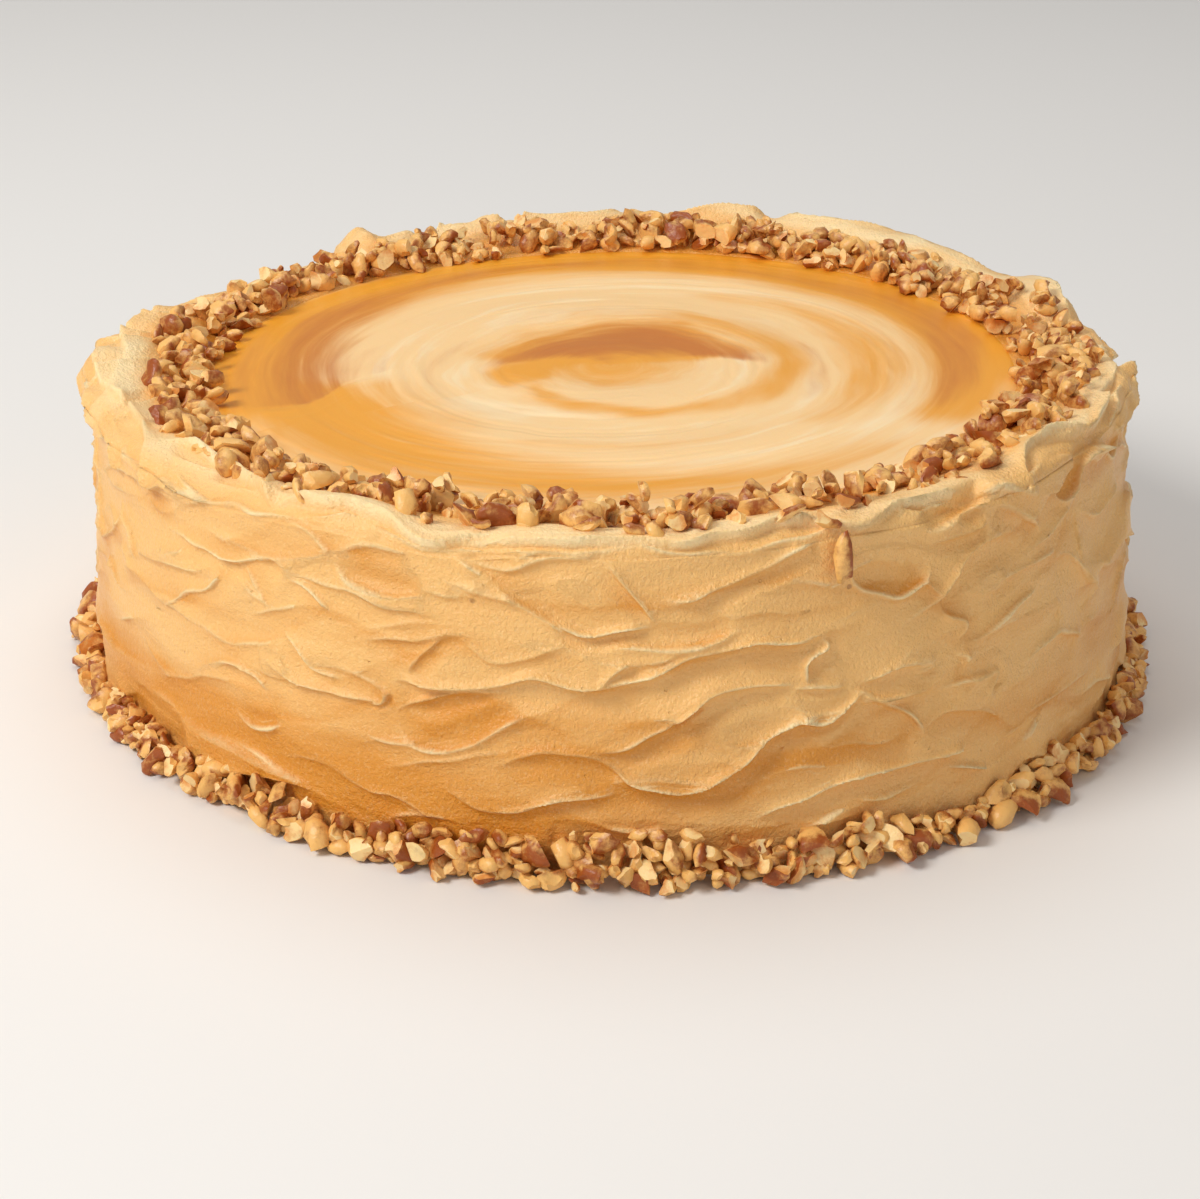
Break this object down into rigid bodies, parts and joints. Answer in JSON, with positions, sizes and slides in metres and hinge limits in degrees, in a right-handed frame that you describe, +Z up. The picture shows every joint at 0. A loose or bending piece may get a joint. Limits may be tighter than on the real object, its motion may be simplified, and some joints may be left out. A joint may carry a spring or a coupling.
{
  "type": "dulce de leche cake",
  "caption": "round uncut layer cake in caramel buttercream, knife-swept side, marbled top, chopped nuts round the rim and foot",
  "frame": {"origin": "centre of the flat base, on the surface that the cake stands on", "axes": "+Z up along the cake's height, -Y toward the side shown at the front, +X to its right"},
  "size_m": [0.2698, 0.2605, 0.0826],
  "materials": {
    "frosting": "satin buttercream"
  },
  "bodies": {
    "root": {"cake": "frosting"}
  },
  "joints": []
}
